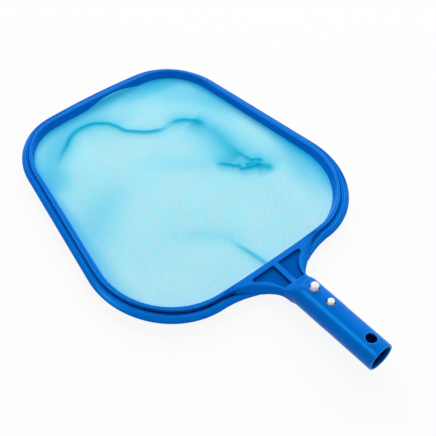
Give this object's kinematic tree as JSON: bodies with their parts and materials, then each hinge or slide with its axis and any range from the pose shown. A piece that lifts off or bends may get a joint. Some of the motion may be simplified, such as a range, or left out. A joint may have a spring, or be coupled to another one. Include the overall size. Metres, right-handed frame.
{
  "type": "leaf skimmer net",
  "caption": "Flat pool leaf skimmer: wide rounded net frame with a fine net, a gusset and a tubular handle that locks into a pole by sprung buttons.",
  "frame": {"origin": "centre of the handle's open mouth, on the tube's axis", "axes": "+Z is the normal of the flat rim, upwards on the side where the net is open; +Y runs from the mouth to the net's far edge; +X to the right seen from above with the handle nearest"},
  "size_m": [0.3018, 0.4189, 0.0402],
  "materials": {
    "frame_plastic": "smooth moulded blue plastic, satin gloss",
    "ring_plastic": "moulded blue plastic",
    "net_weave": "very fine pale blue nylon weave, slightly see-through",
    "button_plastic": "white moulded plastic",
    "spring_steel": "rolled stainless spring strip"
  },
  "bodies": {
    "frame": {"rim": "frame_plastic", "handle": "frame_plastic", "net": "net_weave", "net_ring": "ring_plastic", "clip_bend": "spring_steel"},
    "upper_arm": {"clip_arm_top": "spring_steel", "release_button_top": "button_plastic", "lock_pin_top": "button_plastic"},
    "lower_arm": {"clip_arm_bottom": "spring_steel", "release_button_bottom": "button_plastic", "lock_pin_bottom": "button_plastic"}
  },
  "joints": [
    {"name": "upper_buttons_press", "type": "hinge", "parent": "frame", "child": "upper_arm", "pos_m": [0, 0.03813, 0.00871], "axis": [-1, 0, 0], "range_deg": [0, 6.3], "stiffness_Nm_per_rad": 3, "springref_deg": -5.73},
    {"name": "lower_buttons_press", "type": "hinge", "parent": "frame", "child": "lower_arm", "pos_m": [0, 0.03678, -0.0133], "axis": [1, 0, 0], "range_deg": [0, 6.3], "stiffness_Nm_per_rad": 3, "springref_deg": -5.73}
  ]
}
